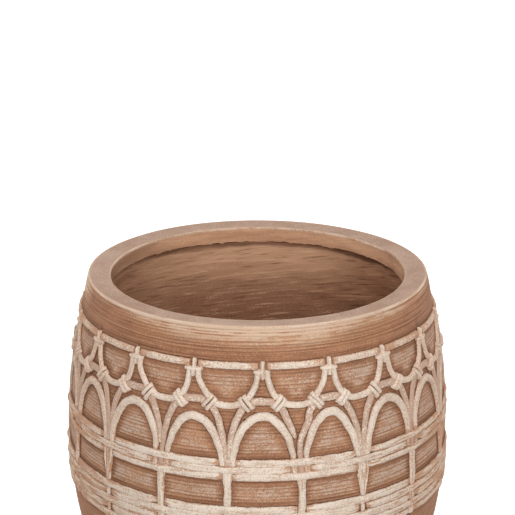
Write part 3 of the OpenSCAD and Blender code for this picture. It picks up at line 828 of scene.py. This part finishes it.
class Tree:
    """Nodes of one material or of the world."""

    def __init__(self, owner):
        owner.use_nodes = True
        self.nodes, self.links = owner.node_tree.nodes, owner.node_tree.links
        self.nodes.clear()

    def add(self, kind, settings, sockets, output=0):
        node = self.nodes.new(kind)
        for name, value in settings.items():
            setattr(node, name, value)
        for name, value in sockets.items():
            if isinstance(value, Value):
                self.links.new(value.socket, node.inputs[name])
            else:
                node.inputs[name].default_value = value
        return Value(self, node.outputs[output]) if node.outputs else None

    def mark(self, name):
        return self.add("ShaderNodeAttribute", {"attribute_name": name}, {}, "Fac")

    def ray(self, kind):
        return self.add("ShaderNodeLightPath", {}, {}, kind)

    def blend(self, share, first, second):
        return self.add("ShaderNodeMix", {"data_type": "RGBA"}, {0: share, 6: first, 7: second}, 2)

    def step(self, value, start, stop):
        return self.add("ShaderNodeMapRange", {"interpolation_type": "SMOOTHSTEP"},
                        {"Value": value, "From Min": start, "From Max": stop})

    def place(self, stretch=(1, 1, 1), shift=(0, 0, 0)):
        """Where a point is on the pot, in metres, with each axis stretched."""
        here = self.add("ShaderNodeTexCoord", {}, {}, "Object")
        return self.add("ShaderNodeVectorMath", {"operation": "MULTIPLY_ADD"},
                        {0: here, 1: stretch, 2: shift})

    def axes(self):
        """Where a point is on the pot along each axis, in metres."""
        return [self.add("ShaderNodeSeparateXYZ", {}, {0: self.place()}, axis) for axis in "XYZ"]

    def noise(self, place, per_metre, detail, rough):
        return self.add("ShaderNodeTexNoise", {},
                        {"Vector": place, "Scale": per_metre, "Detail": detail, "Roughness": rough})

    def bump(self, height, millimetres):
        return self.add("ShaderNodeBump", {}, {"Height": height, "Distance": millimetres / 1000})

    def surface(self, colour, roughness, normal):
        shader = self.add("ShaderNodeBsdfPrincipled", {}, {
            "Base Color": colour, "Roughness": roughness, "Normal": normal, "Specular IOR Level": 0.2})
        self.add("ShaderNodeOutputMaterial", {}, {"Surface": shader})


def srgb(*rgb):
    return tuple(c / 255 / 12.92 if c < 10.3 else ((c / 255 + 0.055) / 1.055) ** 2.4 for c in rgb) + (1,)


LIGHT_CLAY, CLAY = srgb(209, 167, 134), srgb(168, 118, 87)
DARK_CLAY, DEEP_CLAY = srgb(150, 104, 76), srgb(102, 66, 47)
INNER_PALE, INNER_CLAY = srgb(236, 192, 155), srgb(210, 162, 128)
INNER_DARK, INNER_DEEP_SHADE = srgb(188, 141, 110), srgb(160, 115, 88)
RIM_PALE, RIM_TOP = srgb(220, 196, 174), srgb(202, 172, 152)
RIM_DUSK, RIM_TAN = srgb(180, 147, 127), srgb(204, 164, 132)
CREAM, DULL_CREAM, SHADED_SIDE_CREAM = srgb(230, 214, 198), srgb(205, 181, 161), srgb(202, 170, 146)
DRY_WASH, FAINT, BARE = srgb(204, 184, 168), srgb(188, 154, 132), srgb(184, 137, 104)
SEAM_AND_SHADE, DARK_SEAM_AND_SHADE = srgb(112, 74, 52), srgb(90, 58, 41)
WHITE, FLOOR_GREY, FLOOR_PALE = (1, 1, 1, 1), srgb(196, 196, 196), srgb(202, 202, 202)

# Where painted shade on the sides of the pot fades in, in metres from front to back: the sides are drawn
# darker and duller than the front, as the light falls from the front
WALL_SIDE_SHADE, STRIP_SIDE_SHADE = (-0.155, -0.06), (-0.165, -0.07)

# Where a look, or painted light and shade, fades in on the inside, in metres: along the height, then towards
# the back and to the left
OFF_FLOOR, DEEP_INSIDE_SHADE, LIT_BAND_TOP, LIT_BAND_FOOT = (0.016, 0.03), (0.26, 0.19), (0.277, 0.270), (0.222, 0.264)
LIP_FACE, BACK_INSIDE, LEFT_INSIDE_LIGHT_AND_SHADE = (0.271, 0.277), (0.08, 0.14), (-0.05, -0.125)


def combed(t):
    """Colour, height and grain of the combed outside: painted shade in the comb's lines, with a painted
    highlight on the burrs, patina and painted shade beside strips, pale where dry wash was brushed on, and
    paler down from the rim. The sides of the pot are painted darker and duller, as if in shade."""
    grain = t.noise(t.place(), 820, 1, 0.5)
    mottle = t.noise(t.place(), 40, 3, 0.55)
    streak = t.noise(t.place((22, 22, 520)), 1, 3, 0.6)
    brush = t.noise(t.place((80, 80, 560), (3, 1, 2)), 1, 3, 0.65)
    groove, clear, frost, pale = [t.mark(name) for name in ("groove", "clear", "frost", "pale")]
    colour = t.blend(t.step(mottle + (streak - 0.5) * 0.9, 0.36, 0.66), CLAY, DARK_CLAY)
    # Painted shade: away from the front, the sides of the pot get fewer pale specks and burrs and darker
    # seams beside the strips, as if the light falls from the front
    side = t.step(t.axes()[1], *WALL_SIDE_SHADE)
    colour = t.blend((t.step(grain, 0.5, 0.72) * 0.4 + frost * 0.42) * (1 - side * 0.6), colour, LIGHT_CLAY)
    # Painted highlight on the burr above each comb line
    burr_highlight = t.step(groove + (0.5 - brush) * 0.7, 0.0, -0.7)
    colour = t.blend(burr_highlight * (0.4 + frost * 0.3) * (1 - side * 0.5), colour, LIGHT_CLAY)
    dry = t.step(grain + (brush - 0.5) + (mottle - 0.5) * 0.5 + frost * 0.25, 0.6, 0.8)
    colour = t.blend(frost * dry * t.step(groove, 0.9, 0.0) * (0.85 - side * 0.4), colour, DRY_WASH)
    held = t.step(streak + (brush - 0.5) * 0.8 + (mottle - 0.5) * 0.7 - groove * 0.2 + pale * 0.25,
                  0.36, 0.72)
    colour = t.blend(t.step(pale, 0.0, 0.6) * (0.2 + held * 0.55), colour, RIM_TAN)
    run = t.step(pale + (held - 0.5) * 0.9 + (grain - 0.5) * 0.6, 0.6, 1.4)
    colour = t.blend(run * 0.6, colour, RIM_PALE)
    # Painted shade in the comb's lines
    groove_shade = t.step(groove + (grain - 0.5) * 0.5 + (streak - 0.5) * 0.7, 0.15, 0.95)
    colour = t.blend(groove_shade * (0.68 - frost * 0.36 - pale * 0.4), colour, DEEP_CLAY)
    # Patina and painted shade beside the strips: a thin dark line at their edge, and a wide soft darkening of
    # the panels near them, stronger on the sides of the pot
    beside = t.step(clear + (grain - 0.5) * 1.5, 2.2, 0.2)
    patina_and_painted_shade = t.step(clear, 7, 0) * (0.24 + side * 0.34) + beside * (0.12 + side * 0.3)
    colour = t.blend(patina_and_painted_shade, colour, DEEP_CLAY)
    colour = t.blend(t.step(grain, 0.46, 0.26) * (0.3 - pale * 0.2), colour, DEEP_CLAY)
    return colour, streak * 0.5 + grain * 0.6 + brush * 0.4, grain


def smeared(t, drawn_share):
    """Colour and height of the inside, where wet clay was dragged round and up by hand, and that share of the
    strokes shows. It is painted in shade deep down, in the seam under the lip and on the lip's face at the
    left, and painted lighter below the lip at the back, where the light falls, with a painted highlight on
    the thumb's ridge."""
    grain = t.noise(t.place(), 800, 2, 0.6)
    smear = t.noise(t.place((16, 16, 70), (5, 2, 1)), 1, 4, 0.6)
    x, y, z = t.axes()
    drawn = t.add("ShaderNodeCombineXYZ", {},
                  {"X": x * 36, "Y": y * 36, "Z": (z + y * 0.25 - x * 0.1) * 500})
    stroke = (t.noise(drawn, 1, 2, 0.55) - 0.5) * t.step(z, *OFF_FLOOR) * drawn_share + 0.5
    colour = t.blend(t.step(smear + (stroke - 0.5) * 0.5, 0.34, 0.66), INNER_DARK, INNER_CLAY)
    # Painted shade: darker deep down in the cavity, where less light gets in
    colour = t.blend(t.step(z, *DEEP_INSIDE_SHADE), colour, INNER_DEEP_SHADE)
    # Painted light: a paler band below the lip at the back, where the light falls
    painted_light_band = t.step(z, *LIT_BAND_TOP) * t.step(z, *LIT_BAND_FOOT) * t.step(y, *BACK_INSIDE)
    colour = t.blend(painted_light_band * 0.5, colour, INNER_PALE)
    colour = t.blend(t.step(grain, 0.35, 0.7) * 0.22, colour, INNER_PALE)
    # Pale and dark streaks along the strokes: partly the clay's own streaks, partly painted highlight on
    # their ridges and painted shade in their creases
    bright = t.step(stroke + (grain - 0.5) * 0.3 + (smear - 0.5) * 0.5, 0.57, 0.72)
    colour = t.blend(bright * 0.7, colour, INNER_PALE)
    colour = t.blend(t.step(stroke + (smear - 0.5) * 0.4, 0.42, 0.28) * 0.5, colour, DEEP_CLAY)
    # Painted shade on the lip's inner face at the left, which the light doesn't reach, and painted light on
    # the wall just below it
    left, lip = t.step(x, *LEFT_INSIDE_LIGHT_AND_SHADE), t.step(z, *LIP_FACE)
    colour = t.blend(left * lip * 0.5, colour, DEEP_CLAY)
    colour = t.blend(left * (1 - lip) * 0.25, colour, INNER_PALE)
    # Painted highlight along the thumb's ridge
    colour = t.blend(t.mark("frost") * 0.6, colour, INNER_PALE)
    # Painted shadow in the seam under the lip, and in the hollow at its left
    colour = t.blend(t.mark("groove"), colour, DEEP_CLAY)
    return colour, smear + stroke * 0.8 + grain * 0.5


def combed_clay():
    material = bpy.data.materials.new("combed_clay")
    t = Tree(material)
    inner = t.mark("inner")
    out, out_height, grain = combed(t)
    inn, inn_height = smeared(t, 1)
    height = out_height * (1 - inner) + inn_height * inner
    t.surface(t.blend(inner, out, inn), 0.82 + grain * 0.14, t.bump(height, 0.6))
    return material


def rim_clay():
    """Combed clay on the lip's side and smeared clay on its inner face, with a sandy top and pale edges."""
    material = bpy.data.materials.new("rim_clay")
    t = Tree(material)
    edge, inner, flat = t.mark("edge"), t.mark("inner"), t.mark("flat")
    side, side_height, grain = combed(t)
    face, face_height = smeared(t, 0.5)
    sand = t.noise(t.place((1, 1, 1), (2, 5, 1)), 780, 3, 0.7)
    cloud = t.noise(t.place(), 26, 3, 0.6)
    top = t.blend(t.step(cloud + (sand - 0.5) * 1.4, 0.3, 0.7), RIM_TOP, RIM_DUSK)
    colour = t.blend(flat, t.blend(inner, side, face), top)
    colour = t.blend(edge * t.step(sand + cloud, 0.78, 1.15) * 0.8, colour, RIM_PALE)
    height = sand * flat + (side_height * (1 - inner) + face_height * inner) * (1 - flat)
    t.surface(colour, 0.84 + grain * 0.12, t.bump(height, 0.35))
    return material


def washed(name, worn, speckle, fibres, under):
    """White wash over the strips. The colour under it shows where it is worn, in specks and along the fibres,
    and the dark seam shows at their foot. Beside the ties the strips are painted in shade, and on the sides
    of the pot they are painted duller, as if in shade."""
    material = bpy.data.materials.new(name)
    t = Tree(material)
    crown, gone, tone, along, across = [t.mark(mark) for mark in ("crown", "gone", "tone", "along", "across")]
    lie = t.add("ShaderNodeCombineXYZ", {}, {"X": along * 0.045, "Y": across * 0.5, "Z": tone * 40})
    grain = t.noise(t.place(), 820, 1, 0.5)
    spots = t.noise(t.place((1, 1, 1), (3, 7, 1)), 520, 2, 0.6)
    patch = t.noise(t.place(), 70, 2, 0.5)
    fibre = t.noise(lie, 1, 2, 0.55)
    bare = (0.95 - spots - grain * 0.9) * speckle + (0.5 - fibre) * fibres
    bare = bare + (patch - 0.5) * 0.5 + (1 - crown) * 0.25 + gone * 0.5
    # Painted shade: on the sides of the pot the wash is drawn duller and more worn, as if the light falls
    # from the front
    side = t.step(t.axes()[1], *STRIP_SIDE_SHADE)
    bare = bare + side * (0.1 + fibres * 0.11)
    thick = grain + (fibre - 0.5) * fibres * 0.4 + (patch - 0.5) * 0.7 + tone * 0.02
    wash = t.blend(t.step(thick, 0.28, 0.62), DULL_CREAM, CREAM)
    wash = t.blend(side * (0.55 + (0.5 - grain) * 0.9), wash, SHADED_SIDE_CREAM)
    colour = t.blend(t.step(bare, worn, worn + 0.3) * 0.85, wash, under)
    seam = t.blend(t.step(grain, 0.3, 0.7), DARK_SEAM_AND_SHADE, SEAM_AND_SHADE)
    colour = t.blend(t.step(crown + (spots - 0.5) * 0.6, 0.3, -0.2), colour, seam)
    # Painted shade beside the ties, where values above 1 turn the strip dark
    colour = t.blend(t.step(gone, 1.0, 2.0), colour, seam)
    colour = t.blend(t.step(crown + (grain - 0.5) * 0.5, -0.4, -1.0), colour, DARK_CLAY)
    t.surface(colour, 0.84 + grain * 0.12, t.bump(grain * 0.8 + spots * 0.6 + fibre * fibres * 0.5, 0.35))
    return material


# Stage, with places in metres, angles in degrees and the lens in millimetres
FLOOR_REACH, FLOOR_GLOW, SKY_LIGHT = 9, 0.9, 0.18
LENS, SENSOR_W = 133.65, 36
EYE_AWAY, EYE_Z, EYE_SIDEWAYS, EYE_DOWN = 1.6118, 0.8243, -1.479, 17.961

# Name, place, aim, size and watts of each lamp
LAMPS = (("key", (0.12, -2.2, 1.0), (0, 0, 0.25), 1.2, 36),
         ("above", (0, -0.2, 2.2), (0, 0, 0.25), 1.6, 21),
         ("left", (-1.6, 1.2, 0.35), (0, 0, 0.2), 0.7, 21),
         ("right", (1.6, 1.2, 0.35), (0, 0, 0.2), 0.7, 21))


def pale_floor():
    material = bpy.data.materials.new("pale_floor")
    t = Tree(material)
    seen = t.ray("Is Camera Ray") + t.ray("Is Glossy Ray")
    paper = t.noise(t.place(), 30, 2, 0.5)
    tint = t.blend(paper, FLOOR_GREY, FLOOR_PALE)
    matte = t.add("ShaderNodeBsdfDiffuse", {}, {"Color": tint})
    glow = t.add("ShaderNodeEmission", {}, {"Color": WHITE, "Strength": seen * FLOOR_GLOW})
    both = t.add("ShaderNodeAddShader", {}, {0: matte, 1: glow})
    t.add("ShaderNodeOutputMaterial", {}, {"Surface": both})
    return material


def studio():
    floor = bpy.data.meshes.new("floor")
    corners = [(x * FLOOR_REACH, y * FLOOR_REACH, 0) for x, y in ((-1, -1), (1, -1), (1, 1), (-1, 1))]
    floor.from_pydata(corners, [], [(0, 1, 2, 3)])
    ground = placed("floor", floor)
    floor.materials.append(pale_floor())

    world = bpy.data.worlds.new("studio")
    bpy.context.scene.world = world
    t = Tree(world)
    strength = SKY_LIGHT + t.ray("Is Camera Ray") * (1 - SKY_LIGHT)
    sky = t.add("ShaderNodeBackground", {}, {"Color": WHITE, "Strength": strength})
    t.add("ShaderNodeOutputWorld", {}, {"Surface": sky})

    for name, place, aim, size, watts in LAMPS:
        lamp = bpy.data.lights.new(name, "AREA")
        lamp.size, lamp.energy = size, watts
        light = placed(name, lamp)
        light.location = place
        x, y, z = [b - a for a, b in zip(place, aim)]
        light.rotation_euler = (math.atan2(math.hypot(x, y), -z), 0, math.atan2(y, x) - math.pi / 2)

    lens = bpy.data.cameras.new("camera")
    lens.sensor_width, lens.lens = SENSOR_W, LENS
    eye = placed("camera", lens)
    sideways = math.radians(EYE_SIDEWAYS)
    eye.location = (EYE_AWAY * math.sin(sideways), -EYE_AWAY * math.cos(sideways), EYE_Z)
    eye.rotation_euler = (math.radians(90 - EYE_DOWN), 0, sideways)
    bpy.context.scene.camera = eye
    bpy.context.scene.view_settings.view_transform = "Standard"


studio()
clay, lip_clay = combed_clay(), rim_clay()
wash = washed("whitewashed_clay", worn=0.14, speckle=0.65, fibres=0.3, under=BARE)
faint_wash = washed("faintly_washed_clay", worn=-0.2, speckle=0.9, fibres=0.3, under=FAINT)
woven_wash = washed("whitewashed_reed", worn=0.15, speckle=0.5, fibres=1.7, under=BARE)

for name, skin in (
        ("rail", rail()), ("knot_pegs", knot_pegs()), ("knot_bars", knot_bars()), ("swags", swags())):
    skin.piece(name, wash, "whitewashed_clay", name)
outer_arches().piece("outer_arches", faint_wash, "faintly_washed_clay", "outer_arches")
for name, skin in (("inner_arches", inner_arches()), ("left_ties", ties(-1)), ("right_ties", ties(1))):
    skin.piece(name, wash, "whitewashed_clay", name)

# The bundle stake left of the front knot is the only one that doesn't open wide at its top
stakes(BUNDLE_STAKE, BUNDLE_END_Z - GROOVE, [UPPER_ROWS[1], *LOWER_ROWS[::2]], BUNDLE_SEED,
       lambda i: (0.7, 4) if i == STRAIGHT_STAKE else (3.2, 26)).piece(
    "bundle_stakes", woven_wash, "whitewashed_clay", "bundle_stakes")
stakes(WINDOW_STAKE, WINDOW_END_Z - GROOVE, [UPPER_ROWS[2], *LOWER_ROWS[1::2]], WINDOW_SEED,
       lambda i: (0.7, 5)).piece("window_stakes", woven_wash, "whitewashed_clay", "window_stakes")
for i, (first, over_w, tuck_w) in enumerate((
        (WINDOW_STAKE, 2 * WINDOW_LEG + LEG_W, BUNDLE_W + 3 * GAP),
        (BUNDLE_STAKE, STAKE_W, WINDOW_W),
        (WINDOW_STAKE, STAKE_W, STAKE_W))):
    name = f"upper_strand_{i + 1}"
    skin = strand(UPPER_ROWS[i], first, over_w, tuck_w, UPPER_SEED + STRAND_SEEDS * i, i == 0, i == 2)
    if i == 1:
        window_slip(skin)
    skin.piece(name, woven_wash, "whitewashed_clay", name)
for i, row in enumerate(LOWER_ROWS):
    name = f"lower_strand_{i + 1}"
    first = WINDOW_STAKE if i % 2 else BUNDLE_STAKE
    strand(row, first, STAKE_W, STAKE_W, LOWER_SEED + STRAND_SEEDS * i, i == 0, i == 4).piece(
        name, woven_wash, "whitewashed_clay", name)
body_wall().piece("body_wall", clay, "combed_clay", "body_wall")
rim_ring().piece("rim_ring", lip_clay, "rim_clay", "rim_ring")
floor_slab().piece("floor_slab", clay, "combed_clay", "floor_slab")
